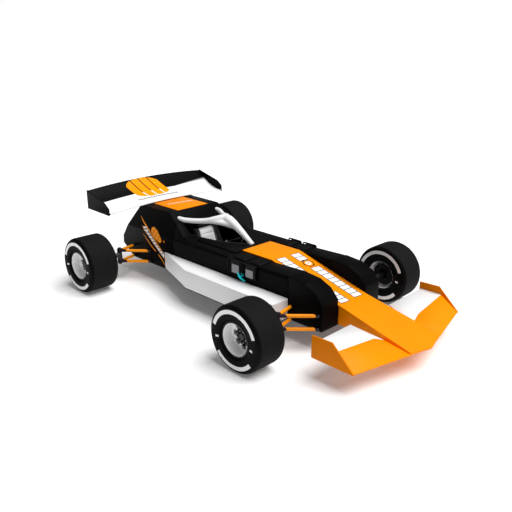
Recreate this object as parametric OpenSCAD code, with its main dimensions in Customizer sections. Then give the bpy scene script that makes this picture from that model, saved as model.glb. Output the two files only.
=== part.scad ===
// Open wheel racing car, single seat, with a halo over the cockpit, a V shaped
// front wing and an arched rear wing. Origin on the ground, midway along and
// across the car. The nose points to -Y and the driver's left is +X.

/* [Overall] */
// Distance between the front and the rear axle
wheelbase = 2727; // [2500:1:3300]
// Front axle to the tip of the nose
front_overhang = 1242; // [1180:1:1500]
// Rear axle to the back edge of the rear wing
rear_overhang = 375; // [340:1:500]

/* [Wheels] */
// Outer diameter of every tyre
tyre_d = 670; // [600:1:810]
// Diameter of the rim where the tyre sits
rim_d = 330; // [280:1:400]
// Width of a front tyre
front_tyre_w = 356; // [240:1:400]
// Width of a rear tyre
rear_tyre_w = 376; // [240:1:420]
// Overall width across the front tyres
front_w = 2662; // [2400:1:3150]
// Overall width across the rear tyres
rear_w = 2672; // [2400:1:3150]
// Thickness of the tyre's wall
tyre_wall = 14; // [8:1:24]
// Depth from the tyre's outer face to the wheel's disc
dish = 130; // [60:1:150]
// Number of round windows in the wheel's disc
windows = 8; // [5:1:10]

/* [Body] */
// Width of the body at its flat sides
body_w = 940; // [780:1:1080]
// Height of the floor panel's underside above the ground
floor_z = 226; // [120:1:260]
// Thickness of the floor panel
floor_t = 10; // [6:1:20]
// Thickness of the body's walls
wall = 18; // [8:1:24]
// Height of the deck beside the cockpit
deck_z = 671; // [620:1:720]
// Height of the engine cover's top
cover_z = 925; // [860:1:960]
// Width of the engine cover across its top
cover_top_w = 760; // [600:1:860]
// Width of the orange spine along the top of the body
spine_w = 452; // [380:1:480]
// Thickness of the orange top panels
spine_t = 14; // [8:1:16]
// Width of the cockpit opening
cockpit_w = 640; // [560:1:680]

/* [Side pods] */
// Overall width across the side pods
pod_w = 1396; // [1200:1:1450]
// Height of the side pods' top above the ground
pod_z = 452; // [400:1:500]

/* [Suspension] */
// Outer diameter of a wishbone's tubes
tube_d = 36; // [24:1:44]
// Height between the lower and the upper wishbone
arm_rise = 140; // [110:1:170]
// Kingpin to the inner face of the tyre
hub_reach = 220; // [180:1:250]
// Diameter of the wheel spindle
spindle_d = 50; // [40:1:60]
// Diameter of the kingpin
kingpin_d = 26; // [18:1:32]

/* [Front wing] */
// Overall width across the front end plates
wing_w = 1814; // [1500:1:2000]
// Height of the front wing's underside
wing_z = 219; // [120:1:260]
// Thickness of the end plates
plate_t = 14; // [8:1:20]
// Thickness of the front wing's panels
wing_t = 12; // [8:1:20]

/* [Rear wing] */
// Overall width of the rear wing
rear_wing_w = 1824; // [1500:1:2000]
// Height of the rear wing's leading edge at its ends
rear_wing_z = 912; // [900:1:1000]
// Height that the rear wing gains from its front to its back edge
rear_wing_rise = 214; // [120:1:260]
// Height of the arch in the middle of the rear wing
rear_wing_arch = 43; // [20:1:60]
// Length of the rear wing from front to back
rear_wing_chord = 474; // [360:1:520]

/* [Cockpit] */
// Width of the seat
seat_w = 380; // [320:1:440]
// Width of the steering wheel
helm_w = 260; // [220:1:300]
// Diameter of the steering column's bore
column_d = 24; // [16:1:30]
// Diameter of the halo's tube
halo_d = 56; // [40:1:64]

/* [Jacking] */
// Diameter of the jacking sockets under the nose and the power unit
socket_d = 40; // [30:1:50]
// Depth of the jacking sockets
socket_l = 60; // [40:1:90]

/* [Hidden] */
// Gap between pieces that seat on each other
gap = 0.3;
// Clearance between a shaft and its bore, measured on the radius
run_gap = 0.1;
// Gap at the ends of a turning fit
play = 5;

// Places along the car
front_y = -(front_overhang + wheelbase + rear_overhang) / 2 + front_overhang;
rear_y = front_y + wheelbase;
nose_y = front_y - front_overhang;
cowl_y = front_y - 328;
tub_y = front_y + 116;
scuttle_y = front_y + 576;
dash_y = front_y + 1028;
firewall_y = rear_y - 762;
tail_y = rear_y + 316;
tail_foot_y = tail_y - 200;

// Heights
axle_z = tyre_d / 2;
body_z = floor_z + floor_t + gap;
arm_low_z = axle_z - 83;
shoulder_z = deck_z - 31;
cowl_nose_z = 441;
scuttle_z = deck_z + spine_t + gap;

// Widths
half_w = body_w / 2;
spine_gap_w = spine_w + 2 * gap;

$fn = 64;

// Points of an anticlockwise outline moved inwards by t
function inset(p, t) = [
    for (i = [0 : len(p) - 1])
        let (
            n = len(p),
            u = p[i] - p[(i + n - 1) % n],
            v = p[(i + 1) % n] - p[i],
            a = [-u.y, u.x] / norm(u),
            b = [-v.y, v.x] / norm(v)
        )
        p[i] + t * (a + b) / (1 + a * b)
];

// Outline in Y and Z, made w wide across the car
module across(outline, w) {
    rotate([90, 0, 90])
        linear_extrude(w, center = true)
            polygon(outline);
}

// Outline in X and Z, made long along the car from y
module along(outline, y, length) {
    translate([0, y + length, 0])
        rotate([90, 0, 0])
            linear_extrude(length)
                polygon(outline);
}

// Round bar from one point to another
module bar(from, to, d) {
    run = to - from;
    translate(from)
        rotate([0, acos(run.z / norm(run)), atan2(run.y, run.x)])
            cylinder(d = d, h = norm(run));
}

// Thin panel: its top is a fan of triangles from the first point, its bottom lies t below
module panel(p, t) {
    n = len(p);
    polyhedron(
        points = [for (q = p) q, for (q = p) q - [0, 0, t]],
        faces = [
            for (i = [1 : n - 2]) [0, i + 1, i],
            for (i = [1 : n - 2]) [n, n + i, n + i + 1],
            for (i = [0 : n - 1]) [i, (i + 1) % n, n + (i + 1) % n, n + i]
        ]
    );
}

// Places its child on the driver's right, or mirrored on the left
module on_side(left) {
    mirror([left ? 1 : 0, 0, 0]) children();
}

// ---- body ----

// Cross section of the body: upright sides that lean in above the shoulder
function section(t) = inset([
    [-half_w, body_z],
    [half_w, body_z],
    [half_w, shoulder_z],
    [cover_top_w / 2, cover_z + wall],
    [-cover_top_w / 2, cover_z + wall],
    [-half_w, shoulder_z]
], t);

// Height of the bed under the spine panel
function spine_bed(y) = cowl_nose_z - spine_t - gap
    + (scuttle_z - cowl_nose_z) * (y - cowl_y) / (scuttle_y - cowl_y);

// Trough that the spine panel lies in, lowered and widened by t
module spine_trough(t) {
    across([
        [cowl_y - 1, spine_bed(cowl_y - 1) - t],
        [scuttle_y + gap, spine_bed(scuttle_y + gap) - t],
        [scuttle_y + gap, cover_z],
        [cowl_y - 1, cover_z]
    ], spine_gap_w + 2 * t);
}

cowl_side = [
    [cowl_y, body_z],
    [tub_y - gap, body_z],
    [tub_y - gap, deck_z + 14],
    [cowl_y + 231, deck_z - 6],
    [cowl_y + 92, deck_z - 66],
    [cowl_y, deck_z - 166]
];

module front_cowl() {
    color([0.03, 0.03, 0.03])
        difference() {
            across(cowl_side, body_w);
            spine_trough(0);
            difference() {
                union() {
                    across(inset(cowl_side, wall), body_w - 2 * wall);
                    across([
                        [tub_y - 2 * wall, body_z + wall],
                        [tub_y + wall, body_z + wall],
                        [tub_y + wall, deck_z - wall],
                        [tub_y - 2 * wall, deck_z - wall]
                    ], body_w - 2 * wall);
                }
                spine_trough(wall);
            }
        }
}

tub_side = [
    [tub_y, body_z],
    [firewall_y, body_z],
    [firewall_y, deck_z + 158],
    [firewall_y - 69, deck_z + 109],
    [firewall_y - 169, deck_z + 37],
    [firewall_y - 322, deck_z],
    [tub_y + 408, deck_z],
    [tub_y, deck_z + 14]
];

module cockpit_hole() {
    translate([0, 0, body_z + wall])
        linear_extrude(cover_z)
            polygon([
                [-spine_w / 2, dash_y],
                [spine_w / 2, dash_y],
                [cockpit_w / 2, dash_y + 260],
                [cockpit_w / 2, firewall_y - wall],
                [-cockpit_w / 2, firewall_y - wall],
                [-cockpit_w / 2, dash_y + 260]
            ]);
}

module monocoque() {
    color([0.03, 0.03, 0.03])
        difference() {
            intersection() {
                across(tub_side, body_w);
                along(section(0), tub_y - 1, firewall_y - tub_y + 2);
            }
            spine_trough(0);
            cockpit_hole();
            difference() {
                intersection() {
                    across(inset(tub_side, wall), body_w - 2 * wall);
                    along(section(wall), tub_y, firewall_y - tub_y);
                }
                spine_trough(wall);
                translate([-half_w, dash_y - wall, deck_z - 220])
                    cube([body_w, wall, 220]);
            }
        }
}

cover_side = [
    [firewall_y + gap, body_z],
    [tail_foot_y, body_z],
    [tail_y, floor_z + 145],
    [tail_y - 5, floor_z + 245],
    [tail_y - 330, cover_z],
    [firewall_y + 158, cover_z],
    [firewall_y + 136, cover_z - 15],
    [firewall_y + 59, cover_z - 68],
    [firewall_y + gap, deck_z + 158]
];
cover_panel_y = rear_y - 564;
cover_panel_l = 470;
cover_panel_z = cover_z - 17;

module engine_cover() {
    inner = cover_panel_z - spine_t - gap - wall;
    color([0.03, 0.03, 0.03])
        difference() {
            intersection() {
                across(cover_side, body_w);
                along(section(0), firewall_y - 1, tail_y - firewall_y + 2);
            }
            translate([-spine_gap_w / 2, cover_panel_y - gap, cover_panel_z - spine_t - gap])
                cube([spine_gap_w, cover_panel_l + 2 * gap, 100]);
            intersection() {
                across(inset(cover_side, wall), body_w - 2 * wall);
                along(section(wall), firewall_y, tail_y - firewall_y);
                translate([-half_w, firewall_y, 0])
                    cube([body_w, tail_y - firewall_y, inner]);
            }
            translate([-half_w + wall, firewall_y, body_z - 1])
                cube([body_w - 2 * wall, tail_foot_y - wall - firewall_y, 2 * wall]);
            translate([-half_w + 3 * wall, firewall_y - 1, body_z - 1])
                cube([body_w - 6 * wall, 2 * wall, deck_z - body_z]);
        }
}

module engine_cover_panel() {
    color([1, 0.6, 0])
        translate([-spine_w / 2, cover_panel_y, cover_panel_z - spine_t])
            cube([spine_w, cover_panel_l, spine_t]);
}

engine_y = firewall_y + 40;
engine_l = 520;
gearbox_l = 290;
rear_socket_y = engine_y + engine_l + gearbox_l / 2;

module power_unit() {
    color([0.35, 0.35, 0.37])
        translate([0, 0, floor_z + floor_t])
            difference() {
                union() {
                    translate([-240, engine_y, 0])
                        cube([480, engine_l, 430]);
                    translate([-130, engine_y + engine_l - 1, 0])
                        cube([260, gearbox_l + 1, 280]);
                }
                translate([0, rear_socket_y, -1])
                    cylinder(d = socket_d, h = socket_l + 1);
            }
}

pod_y = tub_y;
pod_end_y = rear_y - 578;
pod_bend_y = front_y + 1478;

// Plan of a side pod from the body's side at x = half_w outwards
pod_plan = [
    [-half_w - gap, pod_y],
    [-half_w - gap, pod_end_y],
    [-pod_w / 2, pod_bend_y],
    [-pod_w / 2, pod_y]
];

module sidepod(left) {
    color("white")
        on_side(left)
            translate([0, 0, body_z])
                linear_extrude(pod_z - body_z)
                    polygon(pod_plan);
}

// Free width round the rear jacking socket
socket_room = 40;

// The floor's back end is split, which leaves the rear jacking socket free from below
module floor_panel() {
    split_half_w = socket_d / 2 + socket_room;
    split_y = rear_socket_y - split_half_w;
    color([0.08, 0.08, 0.08])
        translate([0, 0, floor_z])
            linear_extrude(floor_t) {
                translate([-half_w, cowl_y])
                    square([body_w, split_y - cowl_y]);
                for (left = [false, true])
                    mirror([left ? 1 : 0, 0]) {
                        polygon([
                            [1 - half_w, pod_y],
                            [1 - half_w, pod_end_y],
                            [-half_w, pod_end_y],
                            [-pod_w / 2, pod_bend_y],
                            [-pod_w / 2, pod_y]
                        ]);
                        translate([-half_w, split_y + gap])
                            square([half_w - split_half_w, tail_foot_y - split_y - gap]);
                    }
            }
}

// ---- nose and front wing ----

nose_half_w = 220;
nose_tip_half_w = 258;
lead_slope = 219 / 900;
nose_side_y = nose_y + nose_tip_half_w * lead_slope;

// Half width of the nose at y
function nose_half(y) = nose_half_w
    + (nose_tip_half_w - nose_half_w) * (cowl_y - y) / (cowl_y - nose_side_y);

// Height of the nose's underside at y
function nose_under_z(y) = nose_tip_z
    + (nose_root_z - nose_tip_z) * (y - nose_y) / (cowl_y - nose_y);

front_socket_y = cowl_y - 90;
nose_tip_z = wing_z + 3;
nose_root_z = floor_z + 9;

module nose_box() {
    color([1, 0.6, 0])
        difference() {
            intersection() {
                across([
                    [nose_y, nose_tip_z],
                    [cowl_y - gap, nose_under_z(cowl_y - gap)],
                    [cowl_y - gap, cowl_nose_z],
                    [nose_y, nose_tip_z + 15]
                ], 4 * nose_half_w);
                linear_extrude(cover_z)
                    polygon([
                        [-nose_half_w, cowl_y],
                        [-nose_tip_half_w, nose_side_y],
                        [-75, nose_y + 20],
                        [-40, nose_y + 6],
                        [0, nose_y],
                        [40, nose_y + 6],
                        [75, nose_y + 20],
                        [nose_tip_half_w, nose_side_y],
                        [nose_half_w, cowl_y]
                    ]);
            }
            translate([0, front_socket_y, 0])
                cylinder(d = socket_d, h = nose_under_z(front_socket_y) + socket_l);
        }
}

module nose_top_panel() {
    color([1, 0.6, 0])
        across([
            [cowl_y, spine_bed(cowl_y) + gap],
            [scuttle_y, spine_bed(scuttle_y) + gap],
            [scuttle_y, spine_bed(scuttle_y) + gap + spine_t],
            [cowl_y, spine_bed(cowl_y) + gap + spine_t]
        ], spine_w);
}

module scuttle_panel() {
    color([1, 0.6, 0])
        translate([-spine_w / 2, scuttle_y + gap, deck_z + gap])
            cube([spine_w, dash_y - scuttle_y - gap, spine_t]);
}

// Inner face of an end plate
plate_x = wing_w / 2 - plate_t;
lead_y = nose_y + plate_x * lead_slope;
wing_tip_x = plate_x - gap;
kink_x = 380;

// Points where the main plane meets the flap, from the end plate inwards
wing_seam = [
    [wing_tip_x, lead_y + 203, wing_z + 149],
    [kink_x, lead_y + 161, wing_z + 109],
    [nose_half(lead_y + 138) + gap, lead_y + 138, wing_z + 53]
];

module front_wing_main() {
    color([1, 0.6, 0])
        for (left = [false, true])
            mirror([left ? 1 : 0, 0, 0])
                mirror([1, 0, 0])
                    panel([
                        [nose_tip_half_w + gap, nose_side_y, wing_z + 16],
                        [wing_tip_x, lead_y, wing_z + 12],
                        wing_seam[0],
                        wing_seam[1],
                        wing_seam[2]
                    ], wing_t);
}

module front_flap(left) {
    step = [0, gap, 0];
    color("white")
        on_side(left)
            mirror([1, 0, 0])
                panel([
                    wing_seam[1] + step,
                    wing_seam[0] + step,
                    [wing_tip_x, lead_y + 443, wing_z + 149],
                    [326, lead_y + 470, wing_z + 125],
                    wing_seam[2] + step
                ], wing_t);
}

module front_endplate(left) {
    color([1, 0.6, 0])
        on_side(left)
            translate([-plate_x - plate_t / 2, 0, 0])
                across([
                    [lead_y - 4, wing_z],
                    [lead_y + 463, wing_z],
                    [lead_y + 463, wing_z + 222],
                    [lead_y + 234, wing_z + 229],
                    [lead_y - 4, wing_z + 10]
                ], plate_t);
}

// ---- rear wing ----

wing_back_y = rear_y + rear_overhang;
wing_front_y = wing_back_y - rear_wing_chord;
rear_wing_t = 14;
rear_plate_x = rear_wing_w / 2 - plate_t;
arch_r = (rear_plate_x * rear_plate_x + rear_wing_arch * rear_wing_arch) / (2 * rear_wing_arch);
arch_z = rear_wing_z + rear_wing_arch - arch_r;

// Height of the wing's upper face above its leading edge, t from 0 at the front to 1 at the back
function wing_rise(t) = rear_wing_rise * t * t;

module rear_wing() {
    half_angle = asin(rear_plate_x / arch_r);
    steps = 12;
    color([0.95, 0.95, 0.95])
        intersection() {
            translate([0, 0, arch_z])
                rotate([90, 0, 0])
                    rotate([0, 0, 90 - half_angle])
                        rotate_extrude(angle = 2 * half_angle, $fn = 360)
                            polygon([
                                for (i = [0 : steps])
                                    [arch_r + wing_rise(i / steps),
                                     -wing_front_y - rear_wing_chord * i / steps],
                                for (i = [steps : -1 : 0])
                                    [arch_r + wing_rise(i / steps) - rear_wing_t,
                                     -wing_front_y - rear_wing_chord * i / steps]
                            ]);
            translate([gap - rear_plate_x, wing_front_y - 1, 0])
                cube([2 * (rear_plate_x - gap), rear_wing_chord + 2, 2 * rear_wing_z]);
        }
}

module rear_endplate(left) {
    color([0.03, 0.03, 0.03])
        on_side(left)
            translate([-rear_plate_x - plate_t / 2, 0, 0])
                across([
                    [wing_front_y - 3, rear_wing_z - 20],
                    [wing_back_y, rear_wing_z - 14],
                    [wing_back_y, rear_wing_z + rear_wing_rise + 8],
                    [wing_front_y + 80, rear_wing_z + 122],
                    [wing_front_y - 3, rear_wing_z + 62]
                ], plate_t);
}

pylon_x = 150;
pylon_t = 24;

module rear_wing_pylons() {
    under = rear_wing_z + rear_wing_arch - pylon_x * pylon_x / (2 * arch_r) - rear_wing_t - 1;
    reach = (tail_y - 330 - wing_front_y) / rear_wing_chord;
    color([0.03, 0.03, 0.03])
        for (side = [-1, 1])
            translate([side * (pylon_x - pylon_t / 2), 0, 0])
                across([
                    [wing_front_y + 20, cover_z + gap],
                    [tail_y - 332, cover_z + gap],
                    [tail_y - 332, under + wing_rise(reach) - 1],
                    [wing_front_y + 20, under]
                ], pylon_t);
}

// ---- cockpit ----

// Slope of the engine cover's front, which carries the halo's feet
cover_ramp = atan2(53, 77);
halo_r = halo_d / 2;

module halo_ball(at) {
    translate(at)
        sphere(r = halo_r, $fn = 24);
}

module halo() {
    top = [0, firewall_y - 390, cover_z + 16];
    brow = [0, dash_y + 260, cover_z - 150];
    color("white") {
        for (side = [-1, 1]) {
            foot = [side * 300, firewall_y + 96, cover_z - 43];
            heel = foot + [0, -40, 36];
            bend = [side * 218, firewall_y - 100, cover_z - 38];
            near = [side * 110, firewall_y - 300, cover_z - 20];
            hull() {
                translate(foot)
                    rotate([cover_ramp, 0, 0])
                        translate([0, 0, 1])
                            cylinder(r = halo_r + 8, h = 10, $fn = 24);
                halo_ball(heel);
            }
            hull() {
                halo_ball(heel);
                halo_ball(bend);
            }
            hull() {
                halo_ball(bend);
                halo_ball(near);
            }
            hull() {
                halo_ball(near);
                halo_ball(top);
            }
        }
        hull() {
            halo_ball(top);
            halo_ball(brow);
        }
        hull() {
            halo_ball(brow);
            translate([0, dash_y - halo_r - 5, scuttle_z + gap])
                cylinder(r = halo_r, h = 20, $fn = 24);
        }
    }
}

seat_y = firewall_y - 600;

module seat() {
    bed = body_z + wall + gap;
    color("white")
        difference() {
            across([
                [seat_y, bed],
                [firewall_y - wall - 40, bed],
                [firewall_y - wall - gap, bed + 250],
                [firewall_y - wall - gap, deck_z + 70],
                [firewall_y - wall - 50, deck_z + 70],
                [firewall_y - wall - 190, bed + 160],
                [seat_y, bed + 110]
            ], seat_w);
            across([
                [seat_y - 1, bed + 60],
                [firewall_y - wall - 170, bed + 60],
                [firewall_y - wall - 22, deck_z + 71],
                [firewall_y - wall - 500, deck_z + 71],
                [seat_y - 1, deck_z]
            ], seat_w - 80);
        }
}

module headrest() {
    color([0.05, 0.05, 0.05])
        translate([-150, firewall_y - wall - gap - 70, deck_z + 85])
            cube([300, 70, 60]);
}

helm_tilt = 20;
helm_reach = 380;
helm_at = [0, dash_y + helm_reach, deck_z - 60];
shaft_l = helm_reach / cos(helm_tilt) - 40;

// Frame of the steering shaft: Z points along the shaft at the driver
module helm_frame() {
    translate(helm_at)
        rotate([helm_tilt - 90, 0, 0])
            children();
}

module steering_wheel() {
    color([0.25, 0.25, 0.27])
        helm_frame() {
            translate([20 - helm_w / 2, -65, 0])
                cube([helm_w - 40, 130, 22]);
            for (side = [-1, 1])
                translate([side * (helm_w / 2 - 16), 75, 11])
                    rotate([90, 0, 0])
                        cylinder(d = 32, h = 150);
            translate([0, 0, -shaft_l])
                cylinder(d = column_d - 2 * run_gap, h = shaft_l + 10);
        }
}

module steering_column() {
    color([0.3, 0.3, 0.32])
        intersection() {
            helm_frame()
                difference() {
                    translate([0, 0, -shaft_l - 100])
                        cylinder(d = column_d + 20, h = shaft_l + 100 - play);
                    translate([0, 0, -shaft_l - play])
                        cylinder(d = column_d, h = shaft_l + 2 * play);
                }
            translate([-half_w, dash_y + gap, 0])
                cube([body_w, 2 * helm_reach, cover_z]);
        }
}

cooler_y = [scuttle_y - 22, scuttle_y + 200];

module cooler_pods(left) {
    color([0.06, 0.06, 0.06])
        on_side(left)
            for (y = cooler_y)
                translate([-half_w - 24, y, deck_z - 150])
                    cube([24 - gap, 152, 150]);
}

// ---- suspension ----

pickup_l = 30;
arm_ys = [-288, 62];
eye_h = tube_d + 6;
eye_r = 30;
bore_gap = 4;
hub_d = 60;

module pickups(axle_y) {
    color([0.05, 0.05, 0.05])
        for (side = [-1, 1], dy = arm_ys, dz = [0, arm_rise])
            translate([side * half_w, axle_y + dy, arm_low_z + dz])
                rotate([0, side * 90, 0])
                    cylinder(d = tube_d - 6, h = pickup_l);
}

// Tube of a wishbone on the driver's right, cut flush with the end of its pick up
module arm(root, eye) {
    run = eye - root;
    room = 100;
    difference() {
        bar(root, eye - (kingpin_d / 2 + bore_gap) * run / norm(run), tube_d);
        translate([-half_w - pickup_l - gap, root.y - room, root.z - room])
            cube(2 * room);
    }
}

// Two wishbones on the driver's right, from the pick ups to the kingpin
module wishbones(axle_y, pin_x) {
    color([1, 0.6, 0])
        for (dz = [0, arm_rise]) {
            eye = [-pin_x, axle_y, arm_low_z + dz];
            difference() {
                union() {
                    for (dy = arm_ys)
                        arm([-half_w, axle_y + dy, arm_low_z + dz], eye);
                    translate(eye)
                        cylinder(r = eye_r, h = eye_h, center = true);
                }
                translate(eye)
                    cylinder(d = kingpin_d, h = 3 * eye_h, center = true);
            }
        }
}

// Hub carrier on the driver's right with its kingpin and wheel spindle
module carrier(axle_y, pin_x, outer_x) {
    disc_x = outer_x - dish;
    boss_in = disc_x - boss_l;
    color([0.12, 0.12, 0.13]) {
        translate([-pin_x, axle_y, arm_low_z]) {
            translate([0, 0, -eye_h / 2 - play])
                cylinder(d = kingpin_d - 2 * run_gap, h = arm_rise + eye_h + 2 * play);
            for (dz = [-eye_h / 2 - play - 10, arm_rise + eye_h / 2 + play])
                translate([0, 0, dz])
                    cylinder(d = kingpin_d + 16, h = 10);
            translate([0, 0, eye_h / 2 + play])
                cylinder(d = 2 * eye_r, h = arm_rise - eye_h - 2 * play);
        }
        translate([-pin_x, axle_y, axle_z])
            rotate([0, -90, 0])
                cylinder(d = hub_d, h = boss_in - play - pin_x);
        translate([-boss_in + 40, axle_y, axle_z])
            rotate([0, -90, 0])
                cylinder(d = spindle_d - 2 * run_gap, h = boss_l + 2 * play + 40 + 1);
        translate([-disc_x - play, axle_y, axle_z])
            rotate([0, -90, 0])
                cylinder(d = spindle_d + 24, h = 24, $fn = 6);
    }
}

// ---- wheels ----

rim_edge = 20;
flange_t = 8;
flange_h = 11;
boss_l = 70;
disc_t = 16;

// Side of a tyre from the bead to the tread, a across the tyre, grown inwards by t
function tyre_side(t) = [
    [rim_d / 2 + gap, rim_edge + flange_t + gap + t],
    [rim_d / 2 + flange_h + gap, rim_edge + flange_t + gap + t],
    [rim_d / 2 + flange_h + 4, rim_edge + 2 + t],
    [rim_d / 2 + 46, t],
    for (k = [0 : 5])
        [tyre_d / 2 - 50 + (50 - t) * sin(k * 18), 50 - (50 - t) * cos(k * 18)]
];

module tyre(w) {
    outer = tyre_side(0);
    inner = tyre_side(tyre_wall);
    n = len(outer);
    rotate_extrude($fn = 96)
        polygon([
            for (q = outer) q,
            for (i = [n - 1 : -1 : 0]) [outer[i].x, w - outer[i].y],
            for (q = inner) [q.x, w - q.y],
            for (i = [n - 1 : -1 : 0]) inner[i]
        ]);
}

module rim(w) {
    r = rim_d / 2;
    disc_a = w - dish;
    difference() {
        rotate_extrude($fn = 96)
            polygon([
                [r - 8, rim_edge],
                [r + flange_h, rim_edge],
                [r + flange_h, rim_edge + flange_t],
                [r, rim_edge + flange_t],
                [r, w - rim_edge - flange_t],
                [r + flange_h, w - rim_edge - flange_t],
                [r + flange_h, w - rim_edge],
                [r - 8, w - rim_edge],
                [r - 8, disc_a],
                [spindle_d / 2, disc_a],
                [spindle_d / 2, disc_a - boss_l],
                [spindle_d / 2 + 25, disc_a - boss_l],
                [spindle_d / 2 + 25, disc_a - disc_t],
                [r - 8, disc_a - disc_t]
            ]);
        for (i = [0 : windows - 1])
            rotate([0, 0, i * 360 / windows])
                translate([r * 0.66, 0, 0])
                    cylinder(d = r * 0.36, h = w);
    }
}

// Turns a wheel's axis to X and puts its outer face at x on the driver's right
module wheel_at(left, axle_y, outer_x, w) {
    on_side(left)
        translate([-outer_x + w, axle_y, axle_z])
            rotate([0, -90, 0])
                children();
}

pin_front = front_w / 2 - front_tyre_w - hub_reach;
pin_rear = rear_w / 2 - rear_tyre_w - hub_reach;

module front_tyre(left) {
    color([0.08, 0.08, 0.08])
        wheel_at(left, front_y, front_w / 2, front_tyre_w)
            tyre(front_tyre_w);
}

module rear_tyre(left) {
    color([0.08, 0.08, 0.08])
        wheel_at(left, rear_y, rear_w / 2, rear_tyre_w)
            tyre(rear_tyre_w);
}

module front_rim(left) {
    color([0.9, 0.9, 0.9])
        wheel_at(left, front_y, front_w / 2, front_tyre_w)
            rim(front_tyre_w);
}

module rear_rim(left) {
    color([0.9, 0.9, 0.9])
        wheel_at(left, rear_y, rear_w / 2, rear_tyre_w)
            rim(rear_tyre_w);
}

front_cowl();
monocoque();
engine_cover();
floor_panel();
nose_box();
nose_top_panel();
scuttle_panel();
engine_cover_panel();
power_unit();
sidepod(true);  // sidepod_left
sidepod(false);  // sidepod_right
halo();
seat();
headrest();
steering_wheel();
steering_column();
cooler_pods(true);  // cooler_pods_left
cooler_pods(false);  // cooler_pods_right
front_wing_main();
front_flap(true);  // front_flap_left
front_flap(false);  // front_flap_right
front_endplate(true);  // front_endplate_left
front_endplate(false);  // front_endplate_right
rear_wing();
rear_endplate(true);  // rear_endplate_left
rear_endplate(false);  // rear_endplate_right
rear_wing_pylons();
pickups(front_y);  // front_pickups
pickups(rear_y);  // rear_pickups
on_side(true) wishbones(front_y, pin_front);  // front_wishbones_left
on_side(false) wishbones(front_y, pin_front);  // front_wishbones_right
on_side(true) wishbones(rear_y, pin_rear);  // rear_wishbones_left
on_side(false) wishbones(rear_y, pin_rear);  // rear_wishbones_right
on_side(true) carrier(front_y, pin_front, front_w / 2);  // front_knuckle_left
on_side(false) carrier(front_y, pin_front, front_w / 2);  // front_knuckle_right
on_side(true) carrier(rear_y, pin_rear, rear_w / 2);  // rear_upright_left
on_side(false) carrier(rear_y, pin_rear, rear_w / 2);  // rear_upright_right
front_tyre(true);  // tyre_front_left
front_tyre(false);  // tyre_front_right
rear_tyre(true);  // tyre_rear_left
rear_tyre(false);  // tyre_rear_right
front_rim(true);  // rim_front_left
front_rim(false);  // rim_front_right
rear_rim(true);  // rim_rear_left
rear_rim(false);  // rim_rear_right
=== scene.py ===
from math import cos, pi, radians, sin, sqrt

import bmesh
import bpy
from mathutils import Matrix, Vector


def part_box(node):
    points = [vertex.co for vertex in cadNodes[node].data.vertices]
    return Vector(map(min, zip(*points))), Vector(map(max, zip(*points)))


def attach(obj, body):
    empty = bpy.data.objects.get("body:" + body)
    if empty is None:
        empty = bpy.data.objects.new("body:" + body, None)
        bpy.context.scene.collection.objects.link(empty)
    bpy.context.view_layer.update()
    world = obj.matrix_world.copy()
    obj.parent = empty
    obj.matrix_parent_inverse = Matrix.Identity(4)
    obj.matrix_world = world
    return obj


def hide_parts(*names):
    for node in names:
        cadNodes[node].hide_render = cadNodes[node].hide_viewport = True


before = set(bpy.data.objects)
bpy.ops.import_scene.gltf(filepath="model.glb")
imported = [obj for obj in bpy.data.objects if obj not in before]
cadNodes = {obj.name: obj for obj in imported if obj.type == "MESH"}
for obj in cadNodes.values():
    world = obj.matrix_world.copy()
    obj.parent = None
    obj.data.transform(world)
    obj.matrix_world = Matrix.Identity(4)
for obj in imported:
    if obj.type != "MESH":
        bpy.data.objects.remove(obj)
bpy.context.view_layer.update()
scene = bpy.context.scene
sides = {"right": -1, "left": 1}


# materials: a Wire is one socket, and sums on it add Math nodes
class Wire:
    def __init__(self, finish, socket):
        self.finish = finish
        self.socket = socket

    def math(self, operation, first, second):
        return self.finish.add("Math", {"operation": operation}, {0: first, 1: second})

    def __add__(self, other):
        return self.math("ADD", self, other)

    __radd__ = __add__

    def __sub__(self, other):
        return self.math("SUBTRACT", self, other)

    def __rsub__(self, other):
        return self.math("SUBTRACT", other, self)

    def __mul__(self, other):
        return self.math("MULTIPLY", self, other)

    __rmul__ = __mul__

    def __gt__(self, other):
        return self.math("GREATER_THAN", self, other)

    def __lt__(self, other):
        return self.math("LESS_THAN", self, other)

    def __mod__(self, other):
        return self.math("FLOORED_MODULO", self, other)

    def __abs__(self):
        return self.math("ABSOLUTE", self, 0.0)


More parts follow.
